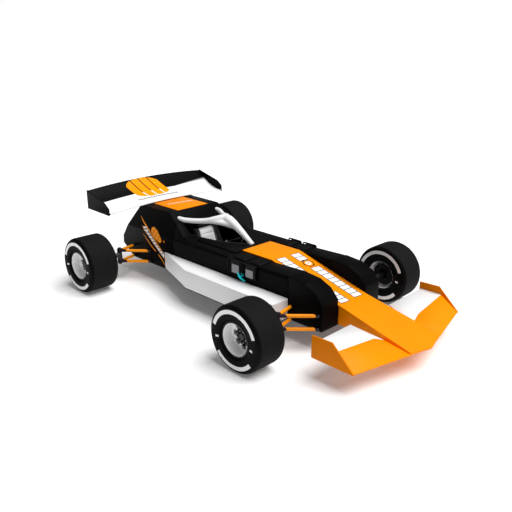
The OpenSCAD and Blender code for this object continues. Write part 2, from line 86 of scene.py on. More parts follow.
class Finish:
    def __init__(self, name, **fixed):
        self.material = bpy.data.materials.new(name)
        self.material.use_nodes = True
        self.tree = self.material.node_tree
        self.shader = self.tree.nodes["Principled BSDF"]
        self.place = self.add("TexCoord", {}, {}, "Object")
        for socket, value in fixed.items():
            self.feed(self.shader.inputs[socket.replace("_", " ")], value)

    def feed(self, socket, value):
        if isinstance(value, Wire):
            self.tree.links.new(value.socket, socket)
        else:
            socket.default_value = value

    # any node: its type, its settings, and the values or links of its sockets
    def add(self, kind, settings, sockets, output=0):
        node = self.tree.nodes.new("ShaderNode" + kind)
        for setting, value in settings.items():
            setattr(node, setting, value)
        for socket, value in sockets.items():
            self.feed(node.inputs[socket], value)
        return Wire(self, node.outputs[output])

    def larger(self, first, second):
        return self.add("Math", {"operation": "MAXIMUM"}, {0: first, 1: second})

    def axes(self, vector=None):
        split = self.add("SeparateXYZ", {}, {0: vector or self.place})
        return [Wire(self, socket) for socket in split.socket.node.outputs]

    # the object's coordinates, scaled, then turned, then moved
    def stretched(self, scale, turn=(0, 0, 0), shift=(0, 0, 0)):
        return self.add("Mapping", {}, {"Vector": self.place, "Location": shift,
                                        "Rotation": turn, "Scale": scale})

    # distance from an axle that runs along x
    def axleDistance(self, hub):
        centred = self.stretched((1, 1, 1), (0, 0, 0), (0, -hub.y, -hub.z))
        flat = self.add("VectorMath", {"operation": "MULTIPLY"}, {0: centred, 1: (0, 1, 1)})
        return self.add("VectorMath", {"operation": "LENGTH"}, {0: flat}, "Value")

    # 1 past a limit, 0 before it, with a smooth step between
    def ease(self, value, low, high):
        return self.add("MapRange", {"interpolation_type": "SMOOTHSTEP"},
                        {"Value": value, "From Min": low, "From Max": high})

    def noise(self, scale, detail=3.0, vector=None):
        return self.add("TexNoise", {}, {"Vector": vector or self.place, "Scale": scale, "Detail": detail})

    def mix(self, factor, first, second):
        return self.add("Mix", {"data_type": "RGBA"}, {0: factor, 6: first, 7: second}, 2)

    def bump(self, height, strength, distance):
        return self.add("Bump", {}, {"Height": height, "Strength": strength, "Distance": distance})

    def paint(self, **varying):
        for socket, value in varying.items():
            self.feed(self.shader.inputs[socket.replace("_", " ")], value)
        return self


def rgb(red, green, blue):
    return (red, green, blue, 1.0)


# paint: a fine orange peel, and a colour that drifts a little over the panel
paintPlan = {"driftScale": 3.0, "smearScale": 28.0, "roughSpread": 0.08, "gloss": 0.42,
             "peelScale": 420.0, "peelStrength": 0.25, "peelDepth": 0.00012}


# the drifting colour between two shades
def drifting(finish, deep, bright):
    return finish.mix(finish.noise(paintPlan["driftScale"], 2.0), deep, bright)


# the roughness and the relief that every painted surface has
def lacquer(finish, roughness):
    smear = finish.noise(paintPlan["smearScale"], 4.0)
    peel = finish.noise(paintPlan["peelScale"], 1.0)
    return {"Roughness": roughness + paintPlan["roughSpread"] * (smear - 0.5),
            "Normal": finish.bump(peel, paintPlan["peelStrength"], paintPlan["peelDepth"])}


def paintFinish(name, deep, bright, roughness, **fixed):
    finish = Finish(name, **fixed)
    return finish.paint(Base_Color=drifting(finish, deep, bright), **lacquer(finish, roughness))


bodyBlack = paintFinish("bodyBlack", rgb(0.0008, 0.0008, 0.0010), rgb(0.0022, 0.0022, 0.0025), 0.42,
                        Specular_IOR_Level=0.035)
orangePaint = paintFinish("orangePaint", rgb(0.93, 0.255, 0.0), rgb(1.0, 0.29, 0.0), 0.42,
                          Specular_IOR_Level=0.08)
whitePaint = paintFinish("whitePaint", rgb(0.80, 0.80, 0.81), rgb(0.87, 0.87, 0.87), 0.4,
                         Specular_IOR_Level=0.3)
# the pods: a darker copy of the white paint; the darker colour is painted shade for their sides
podShadedWhite = paintFinish("podShadedWhite", rgb(0.77, 0.77, 0.78), rgb(0.83, 0.83, 0.83), 0.4,
                       Specular_IOR_Level=0.2)
# the front end plates: a darker copy of the orange paint; the darker colour is painted shade for their outer
# faces
plateShadedOrange = paintFinish("plateShadedOrange", rgb(0.70, 0.185, 0.0), rgb(0.77, 0.21, 0.0), 0.42,
                         Specular_IOR_Level=0.06)
vinylBlack = paintFinish("vinylBlack", rgb(0.003, 0.003, 0.003), rgb(0.006, 0.006, 0.006), 0.5,
                         Specular_IOR_Level=0.15)
vinylWhite = paintFinish("vinylWhite", rgb(0.84, 0.84, 0.85), rgb(0.9, 0.9, 0.9), 0.45,
                         Specular_IOR_Level=0.2)
vinylOrange = paintFinish("vinylOrange", rgb(0.93, 0.28, 0.0), rgb(1.0, 0.32, 0.0), 0.45,
                          Specular_IOR_Level=0.2)


# woven carbon: two crossed sets of bands
def carbonFinish():
    finish = Finish("carbonFloor", Specular_IOR_Level=0.3)
    x, y, z = finish.axes(finish.stretched((1, 1, 1), (0, 0, radians(45))))
    tow = 0.004
    over = ((x % (2 * tow)) > tow) * ((y % (2 * tow)) > tow)
    under = ((x % (2 * tow)) < tow) * ((y % (2 * tow)) < tow)
    weave = over + under
    haze = finish.noise(6.0, 3.0)
    return finish.paint(
        Base_Color=finish.mix(weave * (0.5 + 0.5 * haze), rgb(0.006, 0.006, 0.0065),
                              rgb(0.018, 0.018, 0.019)),
        Roughness=0.38 + 0.12 * weave,
        Normal=finish.bump(weave, 0.3, 0.0002))


# steel: fine turned or brushed lines
def steelFinish(name, deep, bright, roughness):
    finish = Finish(name, Metallic=0.85)
    lines = finish.noise(90.0, 4.0, finish.stretched((1, 1, 14)))
    soot = finish.noise(12.0, 3.0)
    return finish.paint(
        Base_Color=finish.mix(lines, deep, bright),
        Roughness=roughness + 0.15 * (soot - 0.5) + 0.08 * lines,
        Normal=finish.bump(lines, 0.2, 0.00015))


# moulded plastic with a fine spark-eroded grain
def mouldedFinish(name, deep, bright, roughness, shine=0.3, scale=700.0):
    finish = Finish(name, Specular_IOR_Level=shine)
    grain = finish.noise(scale, 2.0)
    cloud = finish.noise(9.0, 3.0)
    return finish.paint(
        Base_Color=finish.mix(cloud, deep, bright),
        Roughness=roughness + 0.1 * (grain - 0.5),
        Normal=finish.bump(grain, 0.35, 0.0002))


# rough casting
def castFinish():
    finish = Finish("castIron", Metallic=0.6)
    grain = finish.noise(260.0, 5.0)
    patch = finish.noise(8.0, 4.0)
    return finish.paint(
        Base_Color=finish.mix(patch, rgb(0.09, 0.09, 0.095), rgb(0.2, 0.2, 0.21)),
        Roughness=0.55 + 0.25 * (grain - 0.5),
        Normal=finish.bump(grain, 0.6, 0.0006))


# leather: pebbled cells
def leatherFinish():
    finish = Finish("blackLeather", Specular_IOR_Level=0.25)
    cell = finish.add("TexVoronoi", {"feature": "DISTANCE_TO_EDGE"}, {"Vector": finish.place, "Scale": 260.0})
    crease = finish.noise(40.0, 4.0)
    return finish.paint(
        Base_Color=finish.mix(crease, rgb(0.006, 0.006, 0.007), rgb(0.016, 0.016, 0.017)),
        Roughness=0.5 + 0.2 * (crease - 0.5),
        Normal=finish.bump(cell, 0.5, 0.0006))


carbonFloor = carbonFinish()
darkSteel = steelFinish("darkSteel", rgb(0.03, 0.03, 0.035), rgb(0.07, 0.07, 0.08), 0.42)
paleSteel = steelFinish("paleSteel", rgb(0.3, 0.3, 0.31), rgb(0.5, 0.5, 0.52), 0.32)
greyMould = mouldedFinish("greyMould", rgb(0.055, 0.055, 0.058), rgb(0.085, 0.085, 0.088), 0.55)
blackMould = mouldedFinish("blackMould", rgb(0.001, 0.001, 0.001), rgb(0.004, 0.004, 0.004), 0.5, 0.1)
cyanMould = mouldedFinish("cyanMould", rgb(0.0, 0.62, 0.72), rgb(0.0, 0.85, 0.95), 0.4)
castIron = castFinish()
padLeather = leatherFinish()
print("materials ready")


# a finished bmesh becomes a piece that rides on a body
def makePiece(bm, name, finish, smooth=40.0, body="chassis"):
    bmesh.ops.recalc_face_normals(bm, faces=bm.faces)
    mesh = bpy.data.meshes.new(name)
    bm.to_mesh(mesh)
    bm.free()
    mesh.materials.append(finish.material)
    for face in mesh.polygons:
        face.use_smooth = True
    if smooth < 180:
        mesh.set_sharp_from_angle(angle=radians(smooth))
    piece = bpy.data.objects.new(name, mesh)
    scene.collection.objects.link(piece)
    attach(piece, body)
    return piece


# rounded edges whose flat faces stay flat
def soften(piece, width, segments=3, angle=25.0):
    bevel = piece.modifiers.new("softEdges", "BEVEL")
    bevel.width = width
    bevel.segments = segments
    bevel.limit_method = "ANGLE"
    bevel.angle_limit = radians(angle)
    bevel.harden_normals = True
    bevel.use_clamp_overlap = True


# a CAD node's triangles joined into plain faces
def mergedCopy(node):
    bm = bmesh.new()
    bm.from_mesh(cadNodes[node].data)
    bmesh.ops.remove_doubles(bm, verts=bm.verts, dist=1e-5)
    bmesh.ops.dissolve_limit(bm, angle_limit=radians(0.4), verts=bm.verts, edges=bm.edges,
                             use_dissolve_boundaries=False, delimit=set())
    return bm


# a CAD node's shape with rounded edges
def softShell(name, node, finish, width, segments=3, angle=25.0, body="chassis"):
    piece = makePiece(mergedCopy(node), name, finish, 180, body)
    soften(piece, width, segments, angle)
    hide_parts(node)
    return piece


# a block with rounded edges
def box(bm, centre, size, turn, rounding, steps):
    place = Matrix.Translation(centre) @ (turn.to_4x4() if turn else Matrix())
    made = bmesh.ops.create_cube(bm, size=1.0, matrix=place @ Matrix.Diagonal((*size, 1.0)))
    edges = list({edge for vert in made["verts"] for edge in vert.link_edges})
    bmesh.ops.bevel(bm, geom=edges, offset=rounding, offset_type="OFFSET", segments=steps,
                    profile=0.5, affect="EDGES", material=-1, clamp_overlap=True)


def rod(bm, start, end, radius, segments=20, radiusEnd=None):
    start, end = Vector(start), Vector(end)
    run = end - start
    turn = run.to_track_quat("Z", "Y").to_matrix().to_4x4()
    bmesh.ops.create_cone(bm, cap_ends=True, segments=segments, radius1=radius,
                          radius2=radius if radiusEnd is None else radiusEnd, depth=run.length,
                          matrix=Matrix.Translation((start + end) / 2) @ turn)


# a flat outline in a plane, pulled along the plane's normal into a thin solid
def vinyl(bm, corners, origin, across, along, lift, thick):
    normal = across.cross(along).normalized()
    verts = [bm.verts.new(origin + across * u + along * v + normal * lift) for u, v in corners]
    face = bm.faces.new(verts)
    pulled = bmesh.ops.extrude_face_region(bm, geom=[face])
    moved = [item for item in pulled["geom"] if isinstance(item, bmesh.types.BMVert)]
    bmesh.ops.translate(bm, verts=moved, vec=normal * thick)


# camera, floor and light
cameraPlan = {"place": (-4.7239, -4.6149, 2.9165), "view": (1.0, 1.0, -0.5), "lens": 43.456, "sensor": 36.0}
camera = bpy.data.objects.new("camera", bpy.data.cameras.new("camera"))
camera.data.lens = cameraPlan["lens"]
camera.data.sensor_width = cameraPlan["sensor"]
camera.data.clip_end = 200.0
camera.location = cameraPlan["place"]
camera.rotation_euler = Vector(cameraPlan["view"]).to_track_quat("-Z", "Y").to_euler()
scene.collection.objects.link(camera)
scene.camera = camera

# the camera sees a white backdrop, the car is lit by a dimmer sky and a wide soft sun
lightPlan = {"skyStrength": 0.2, "backdrop": 1.0, "sunStrength": 3.8, "sunSpread": 50.0,
             "sunFrom": (0.22, -0.42, 1.0)}
scene.view_settings.view_transform = "Standard"
world = bpy.data.worlds.new("studio")
world.use_nodes = True
scene.world = world
skyNodes = world.node_tree.nodes
sky, backdrop = skyNodes["Background"], skyNodes.new("ShaderNodeBackground")
for node, strength in ((sky, lightPlan["skyStrength"]), (backdrop, lightPlan["backdrop"])):
    node.inputs["Color"].default_value = rgb(1, 1, 1)
    node.inputs["Strength"].default_value = strength
rays = skyNodes.new("ShaderNodeLightPath")
either = skyNodes.new("ShaderNodeMixShader")
world.node_tree.links.new(rays.outputs["Is Camera Ray"], either.inputs[0])
world.node_tree.links.new(sky.outputs[0], either.inputs[1])
world.node_tree.links.new(backdrop.outputs[0], either.inputs[2])
world.node_tree.links.new(either.outputs[0], skyNodes["World Output"].inputs["Surface"])

sun = bpy.data.objects.new("softSun", bpy.data.lights.new("softSun", "SUN"))
sun.data.energy = lightPlan["sunStrength"]
sun.data.angle = radians(lightPlan["sunSpread"])
sun.rotation_euler = Vector(lightPlan["sunFrom"]).to_track_quat("Z", "Y").to_euler()
scene.collection.objects.link(sun)

floorPlan = {"size": 60.0, "drop": 0.001, "glow": 0.10}
bm = bmesh.new()
bmesh.ops.create_grid(bm, x_segments=1, y_segments=1, size=floorPlan["size"],
                      matrix=Matrix.Translation((0, 0, -floorPlan["drop"])))
floorMesh = bpy.data.meshes.new("studioFloor")
bm.to_mesh(floorMesh)
bm.free()
floorFinish = Finish("studioFloor", Roughness=0.9, Specular_IOR_Level=0.0,
                     Emission_Color=rgb(1, 1, 1), Emission_Strength=floorPlan["glow"])
floorFinish.paint(Base_Color=floorFinish.mix(floorFinish.noise(1.5), rgb(0.92, 0.92, 0.92),
                                             rgb(0.94, 0.94, 0.94)))
floorMesh.materials.append(floorFinish.material)
studioFloor = bpy.data.objects.new("studioFloor", floorMesh)
scene.collection.objects.link(studioFloor)
print("camera, light and floor ready")


# bodywork from the CAD shapes
shellPlan = {"bodyRound": 0.012, "bodySteps": 3, "bodyAngle": 12.0, "thinRound": 0.003,
             "podRound": 0.006, "floorRound": 0.002}
for name, node in (("cowlShell", "front_cowl"), ("tubShell", "monocoque"), ("coverShell", "engine_cover")):
    softShell(name, node, bodyBlack, shellPlan["bodyRound"], shellPlan["bodySteps"],
              shellPlan["bodyAngle"])
softShell("noseBody", "nose_box", orangePaint, shellPlan["thinRound"], 3)
for name, node in (("spinePanel", "nose_top_panel"), ("scuttleLid", "scuttle_panel"),
                   ("frontWing", "front_wing_main")):
    softShell(name, node, orangePaint, shellPlan["thinRound"], 3)
for label in sides:
    title = label.capitalize()
    softShell("frontPlate" + title, "front_endplate_" + label, plateShadedOrange,
              shellPlan["thinRound"], 3)
    softShell("pod" + title, "sidepod_" + label, podShadedWhite, shellPlan["podRound"], 3)
    softShell("frontFlap" + title, "front_flap_" + label, whitePaint,
              shellPlan["thinRound"], 2)
    softShell("rearPlate" + title, "rear_endplate_" + label, bodyBlack,
              shellPlan["thinRound"], 3)
softShell("wingPylons", "rear_wing_pylons", bodyBlack, shellPlan["thinRound"], 3)
softShell("floorBoard", "floor_panel", carbonFloor, shellPlan["floorRound"], 2)
print("bodywork ready")

# CAD nodes that keep their own shape
keptNodes = {"power_unit": castIron, "steering_column": darkSteel, "cooler_pods_left": blackMould,
             "cooler_pods_right": blackMould}
for node, finish in keptNodes.items():
    mesh = cadNodes[node].data
    mesh.materials.clear()
    mesh.materials.append(finish.material)


# wheels: outlines are (radius, depth from the wheel's face)
wheelPlan = {
    "steps": 128, "ringSteps": 64, "crown": 0.0008, "shoulder": 0.050, "shoulderInset": 0.001,
    "shoulderAngles": range(24, 91, 6),
    "wall": ((0.1653, 0.0290), (0.1763, 0.0290), (0.1790, 0.0240), (0.1860, 0.0150), (0.1950, 0.0090),
             (0.1965, 0.0060), (0.2010, 0.0050), (0.2030, 0.0066), (0.2120, 0.0046), (0.2300, 0.0022),
             (0.2500, 0.0012), (0.2700, 0.0010), (0.2860, 0.0013), (0.2950, 0.0026), (0.2965, 0.0042),
             (0.2990, 0.0044), (0.3010, 0.0036)),
    "lining": ((0.1653, 0.0430), (0.1900, 0.0400), (0.2300, 0.0170), (0.2800, 0.0160), (0.3060, 0.0240),
               (0.3205, 0.0520)),
    "arcRadii": (0.2520, 0.2620, 0.2720, 0.2820, 0.2910), "arcs": ((-72, 142), (130, 100)),
    "barRadii": (0.2060, 0.2150, 0.2250, 0.2350, 0.2430), "barAngles": (-97, 96), "barSweep": 5.0,
    "raise": 0.0005, "sink": 0.0010,
    "hubRing": ((0.0430, 0.0), (0.0430, -0.016), (0.0480, -0.021), (0.0640, -0.021), (0.0740, -0.012),
                (0.0780, 0.0)),
    "studs": 8, "studCircle": 0.0560, "studStand": 0.020, "studRadius": 0.0055, "studLength": 0.006,
    "valveAngle": 20, "valveCircle": 0.150, "valveDepth": 0.05, "valveLength": 0.022,
    "valveRadius": 0.0045, "valveTip": 0.0032,
    "drum": ((0.054, -0.020), (0.118, -0.020), (0.126, -0.028), (0.126, -0.150), (0.118, -0.158),
             (0.054, -0.158)),
    "darkCentre": 0.094, "darkFlange": 0.1588, "discDepth": 0.13, "rimRound": 0.0025,
    "bandFoot": 0.0075, "bandTop": 0.0012, "ringPitch": 0.005, "lathePitch": 0.0012}


def wallDepth(radius):
    line = wheelPlan["wall"]
    for (r0, a0), (r1, a1) in zip(line, line[1:]):
        if r0 <= radius <= r1 and r1 > r0:
            return a0 + (a1 - a0) * (radius - r0) / (r1 - r0)
    return line[-1][1]


def wheelPlace(end, label):
    low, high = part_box("tyre_" + end + "_" + label)
    side = sides[label]
    return {"side": side, "face": (low if side < 0 else high).x, "width": high.x - low.x,
            "hub": Vector((0, (low.y + high.y) / 2, (low.z + high.z) / 2)), "radius": (high.z - low.z) / 2}


# spins a closed outline of (r, a) points about the axle, from a clock angle over an arc
def wheelSpin(bm, wheel, outline, start=0.0, arc=360.0, steps=None, inner=False):
    full = arc == 360.0
    turn = Matrix.Rotation(radians(start), 3, "X")
    verts = []
    for radius, depth in outline:
        depth = wheel["width"] - depth if inner else depth
        arm = turn @ Vector((0, 0, radius))
        verts.append(bm.verts.new(wheel["hub"] + Vector((wheel["face"] - wheel["side"] * depth, 0, 0)) + arm))
    edges = [bm.edges.new((a, b)) for a, b in zip(verts, verts[1:] + verts[:1])]
    shape = verts + edges if full else verts + edges + [bm.faces.new(verts)]
    bmesh.ops.spin(bm, geom=shape, cent=wheel["hub"], axis=(1, 0, 0), angle=radians(arc),
                   steps=steps or wheelPlan["steps"], use_merge=full, use_normal_flip=False,
                   use_duplicate=False)


def tyreOutline(wheel):
    r, bend, width = wheel["radius"], wheelPlan["shoulder"], wheel["width"]
    curve = [(r - bend + (bend - wheelPlan["crown"]) * sin(radians(k)),
              bend - (bend - wheelPlan["shoulderInset"]) * cos(radians(k)))
             for k in wheelPlan["shoulderAngles"]]
    half = list(wheelPlan["wall"]) + curve
    lining = list(wheelPlan["lining"])
    return (half + [(r, width / 2)] + [(q, width - a) for q, a in reversed(half)]
            + [(q, width - a) for q, a in lining] + list(reversed(lining)))


# black walls and a grey running band that starts where the shoulder ends; the tyre's
# radius is its hub's height
def tyreFinish(name, hub):
    finish = Finish(name, Specular_IOR_Level=0.06)
    radius = finish.axleDistance(hub)
    band = finish.ease(radius, hub.z - wheelPlan["bandFoot"], hub.z - wheelPlan["bandTop"])
    speck = finish.noise(800.0, 2.0)
    scuff = finish.noise(9.0, 5.0, finish.stretched((3, 1, 1)))
    wallColour = finish.mix(scuff, rgb(0.0005, 0.0005, 0.0005), rgb(0.0016, 0.0016, 0.0016))
    bandColour = finish.mix(scuff, rgb(0.0055, 0.0055, 0.0055), rgb(0.0100, 0.0100, 0.0100))
    fineRings = abs((radius % wheelPlan["ringPitch"]) - wheelPlan["ringPitch"] / 2)
    return finish.paint(
        Base_Color=finish.mix(band, wallColour, bandColour),
        Roughness=0.6 + 0.12 * band + 0.15 * (scuff - 0.5),
        Normal=finish.bump(speck * 0.4 + fineRings * 120 * (1 - band), 0.3, 0.0003))


# white dish between a dark centre and a dark flange
def rimFinish(name, hub):
    finish = Finish(name, Specular_IOR_Level=0.2)
    radius = finish.axleDistance(hub)
    white = (radius > wheelPlan["darkCentre"]) * (radius < wheelPlan["darkFlange"])
    lathe = abs((radius % wheelPlan["lathePitch"]) - wheelPlan["lathePitch"] / 2)
    cloud = finish.noise(11.0, 3.0)
    return finish.paint(
        Base_Color=finish.mix(white, rgb(0.0015, 0.0015, 0.0015),
                              finish.mix(cloud, rgb(0.90, 0.90, 0.91), rgb(0.96, 0.96, 0.96))),
        Roughness=0.4 + 0.1 * (cloud - 0.5),
        Normal=finish.bump(lathe * 900, 0.15, 0.0001))


plan = wheelPlan
for end in ("front", "rear"):
    rimCoat = rimFinish(end + "RimPaint", wheelPlace(end, "right")["hub"])
    tyreCoat = tyreFinish(end + "TyreRubber", wheelPlace(end, "right")["hub"])
    for label, side in sides.items():
        wheel = wheelPlace(end, label)
        body = "wheel_" + end + "_" + label
        title = end.capitalize() + label.capitalize()
        face, hub = wheel["face"], wheel["hub"]

        bm = bmesh.new()
        wheelSpin(bm, wheel, tyreOutline(wheel))
        bmesh.ops.remove_doubles(bm, verts=bm.verts, dist=1e-5)
        tyre = makePiece(bm, "tyre" + title, tyreCoat, 35, body)
        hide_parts("tyre_" + end + "_" + label)

        bm = bmesh.new()
        for inner in (False, True):
            marks = [(plan["arcRadii"], start, arc) for start, arc in plan["arcs"]]
            marks += [(plan["barRadii"], angle - plan["barSweep"] / 2, plan["barSweep"])
                      for angle in plan["barAngles"]]
            for radii, start, arc in marks:
                outline = [(r, wallDepth(r) - plan["raise"]) for r in radii]
                outline += [(r, wallDepth(r) + plan["sink"]) for r in reversed(radii)]
                wheelSpin(bm, wheel, outline, start, arc, max(4, round(arc / 3)), inner)
        makePiece(bm, "wallMarks" + title, vinylWhite, 30, body)

        softShell("rim" + title, "rim_" + end + "_" + label, rimCoat,
                  plan["rimRound"], 2, 40.0, body)

        discX = face - side * plan["discDepth"]
        bm = bmesh.new()
        disc = dict(wheel, face=discX)
        wheelSpin(bm, disc, plan["hubRing"], steps=plan["ringSteps"])
        bmesh.ops.remove_doubles(bm, verts=bm.verts, dist=1e-5)
        makePiece(bm, "hubRing" + title, blackMould, 35, body)

        bm = bmesh.new()
        for i in range(plan["studs"]):
            clock = Matrix.Rotation(2 * pi * (i + 0.5) / plan["studs"], 3, "X")
            arm = clock @ Vector((0, 0, plan["studCircle"]))
            start = hub + arm + Vector((discX + side * plan["studStand"], 0, 0))
            rod(bm, start, start + Vector((side * plan["studLength"], 0, 0)), plan["studRadius"], 6)
        clock = Matrix.Rotation(radians(plan["valveAngle"]), 3, "X")
        valve = hub + clock @ Vector((0, 0, plan["valveCircle"]))
        valve += Vector((face - side * plan["valveDepth"], 0, 0))
        rod(bm, valve, valve + Vector((side * plan["valveLength"], 0, 0)), plan["valveRadius"],
            12, plan["valveTip"])
        makePiece(bm, "hubStuds" + title, paleSteel, 35, body)

        bm = bmesh.new()
        wheelSpin(bm, disc, [(r, -a) for r, a in plan["drum"]], steps=plan["ringSteps"])
        bmesh.ops.remove_doubles(bm, verts=bm.verts, dist=1e-5)
        makePiece(bm, "brakeDrum" + title, blackMould, 35, body)
print("wheels ready")


# graphics on the spine: u is the way across, s the way down the nose from the scuttle
spinePlan = {
    "lift": 0.0002, "base": 0.0004, "face": 0.0005, "edge": 0.008, "lean": 0.012,
    # across, then the start and end of each block
    "rows": (
        ((0.048, 0.160), (
            (0.030, 0.092), (0.101, 0.166), (0.330, 0.402), (0.411, 0.474), (0.483, 0.560),
            (0.569, 0.634), (0.643, 0.716), (0.725, 0.784), (0.793, 0.862), (0.871, 0.928))),
        ((-0.168, -0.056), (
            (0.020, 0.090), (0.099, 0.158), (0.167, 0.238), (0.247, 0.310), (0.319, 0.394),
            (0.403, 0.468), (0.477, 0.548), (0.557, 0.612), (0.748, 0.806), (0.815, 0.868),
            (0.877, 0.928)))),
    "badges": ((0.100, 0.244), (-0.108, 0.680)), "badgeRim": 0.074, "panelThick": 0.014,
    # colour, radius, steps, height above the panel, thickness
    "discs": (("orange", 0.054, 32, 0.0002, 0.0006), ("white", 0.034, 32, 0.0004, 0.0007),
              ("orange", 0.014, 20, 0.0006, 0.0008)),
    # place across, start, end, pitch, length and width of the small dashes
    "dashRow": (0.200, 0.380, 0.820, 0.024, 0.016, 0.010)}
spineLow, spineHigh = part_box("nose_top_panel")
spineTop = Vector((0, spineHigh.y, spineHigh.z))
spineFall = spineHigh.z - spineLow.z - spinePlan["panelThick"]
spineRun = Vector((0, spineLow.y - spineHigh.y, -spineFall)).normalized()
spineAcross = Vector((-1, 0, 0))


def spineSheet(bm, corners, lift, thick):
    vinyl(bm, [(-x, s) for x, s in corners], spineTop, spineAcross, spineRun, lift, thick)


def slanted(x0, x1, s0, s1, grow, lean):
    return [(x0 - grow, s0 - grow), (x1 + grow, s0 - grow + lean),
            (x1 + grow, s1 + grow + lean), (x0 - grow, s1 + grow)]


def circle(x, s, radius, steps):
    turns = [2 * pi * k / steps for k in range(steps)]
    return [(x + radius * cos(turn), s + radius * sin(turn)) for turn in turns]


vinyls = {colour: bmesh.new() for colour in ("black", "white", "orange")}
lift, base = spinePlan["lift"], spinePlan["base"]
for (x0, x1), blocks in spinePlan["rows"]:
    for s0, s1 in blocks:
        outline = slanted(x0, x1, s0, s1, spinePlan["edge"], spinePlan["lean"])
        spineSheet(vinyls["black"], outline, lift, base)
        spineSheet(vinyls["white"], slanted(x0, x1, s0, s1, 0, spinePlan["lean"]), lift + base / 2,
                   spinePlan["face"])
for x, s in spinePlan["badges"]:
    spineSheet(vinyls["black"], circle(x, s, spinePlan["badgeRim"], 6), lift, base)
    for colour, radius, steps, above, thick in spinePlan["discs"]:
        spineSheet(vinyls[colour], circle(x, s, radius, steps), lift + above, thick)
x, s, last, pitch, length, width = spinePlan["dashRow"]
while s < last:
    spineSheet(vinyls["black"], slanted(x, x + width, s, s + length, 0, 0), lift, base)
    s += pitch
makePiece(vinyls["black"], "spineOutlines", vinylBlack, 30)
makePiece(vinyls["white"], "spineBlocks", vinylWhite, 30)
makePiece(vinyls["orange"], "spineBadges", vinylOrange, 30)

# the engine cover's panel: a block in its recess and a slightly wider sheet on top
sheetPlan = {"grow": 0.012, "proud": 0.004, "sink": 0.002, "blockRound": 0.002, "sheetRound": 0.0025}
panelLow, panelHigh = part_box("engine_cover_panel")
panelMiddle = (panelLow + panelHigh) / 2
panelSize = panelHigh - panelLow
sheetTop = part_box("engine_cover")[1].z + sheetPlan["proud"]
sheetThick = sheetPlan["proud"] + sheetPlan["sink"]
bm = bmesh.new()
box(bm, (panelMiddle.x, panelMiddle.y, (panelLow.z + sheetTop) / 2),
    (panelSize.x, panelSize.y, sheetTop - panelLow.z), None, sheetPlan["blockRound"], 2)
box(bm, (0, panelMiddle.y, sheetTop - sheetThick / 2),
    (panelSize.x + 2 * sheetPlan["grow"], panelSize.y + 2 * sheetPlan["grow"], sheetThick),
    None, sheetPlan["sheetRound"], 2)
coverSheet = makePiece(bm, "coverPanel", orangePaint, 35)
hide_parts("engine_cover_panel")
bm = bmesh.new()
linePlan = {"from": (-0.150, 1.535), "to": (0.200, 1.480), "half": 0.007, "lift": 0.0002,
            "thick": 0.0006}
start, stop, half = Vector((*linePlan["from"], 0)), Vector((*linePlan["to"], 0)), linePlan["half"]
length, run = (stop - start).length, (stop - start).normalized()
vinyl(bm, [(0, -half), (length, -half), (length, half), (0, half)],
      Vector((start.x, start.y, sheetTop)), run, Vector((-run.y, run.x, 0)), linePlan["lift"],
      linePlan["thick"])
makePiece(bm, "coverLine", vinylWhite, 30)
print("graphics ready")


# rear wing: white in front, black behind, four slanted bands and a dashed line; towards +x the white runs
# back into the black with a widening soft edge, a painted reflection
wingPlan = {
    "split": 1.970, "edgeFade": 0.002, "reflectionFrom": 0.30, "reflectionSlope": 0.17, "reflectionFade": 0.10,
    "marginFrom": 0.885, "marginSlope": 0.32, "marginStart": 1.70,
    "bands": 4, "bandPitch": 0.130, "bandWidth": 0.113, "bandLean": 0.333, "bandStart": -0.400,
    "bandTop": 2.160, "patchAt": (0.255, 2.018), "patchHalf": (0.275, 0.150), "patchPower": 2.6,
    "dashY": 1.838, "dashLean": 0.02, "dashHalf": 0.012, "dashPitch": 0.036, "dashWidth": 0.024,
    "dashFrom": -0.38, "dashTo": 0.24, "round": 0.003}


def wingFinish():
    plan = wingPlan
    finish = Finish("wingPaint", Specular_IOR_Level=0.05)
    x, y, z = finish.axes()
    # beyond the reflection's start the split moves back and softens: painted reflection, white standing in
    # for light mirrored on the black paint
    past = finish.larger(x - plan["reflectionFrom"], 0.0)
    edge = plan["split"] + plan["reflectionSlope"] * past
    fade = plan["edgeFade"] + plan["reflectionFade"] * past
    blend = finish.ease(y - edge, fade * -1, plan["edgeFade"])
    limit = plan["marginFrom"] - plan["marginSlope"] * (y - plan["marginStart"])
    black = finish.larger(blend, (limit < (x * -1)) * 1.0)
    slide = x - (plan["bandTop"] - y) * plan["bandLean"] - plan["bandStart"]
    end = (plan["bands"] - 1) * plan["bandPitch"] + plan["bandWidth"]
    inBand = ((slide % plan["bandPitch"]) < plan["bandWidth"]) * (slide > 0) * (slide < end)
    reach = [finish.add("Math", {"operation": "POWER"},
                        {0: abs(place - middle) * (1 / half), 1: plan["patchPower"]})
             for place, middle, half in zip((slide, y), plan["patchAt"], plan["patchHalf"])]
    inBand = inBand * ((reach[0] + reach[1]) < 1.0)
    row = abs(y - plan["dashY"] + plan["dashLean"] * x) < plan["dashHalf"]
    dash = row * ((x % plan["dashPitch"]) < plan["dashWidth"])
    dash = dash * (x > plan["dashFrom"]) * (x < plan["dashTo"])
    colour = finish.mix(black, drifting(finish, rgb(0.82, 0.82, 0.83), rgb(0.88, 0.88, 0.88)),
                        drifting(finish, rgb(0.0008, 0.0008, 0.0010), rgb(0.0022, 0.0022, 0.0025)))
    colour = finish.mix(dash, colour, rgb(0.01, 0.01, 0.012))
    colour = finish.mix(inBand, colour, rgb(1.0, 0.31, 0.0))
    return finish.paint(Base_Color=colour, **lacquer(finish, paintPlan["gloss"]))


softShell("rearWing", "rear_wing", wingFinish(), wingPlan["round"], 3)


# applies a piece's modifiers
def settled(piece):
    graph = bpy.context.evaluated_depsgraph_get()
    mesh = bpy.data.meshes.new_from_object(piece.evaluated_get(graph))
    piece.modifiers.clear()
    piece.data = mesh


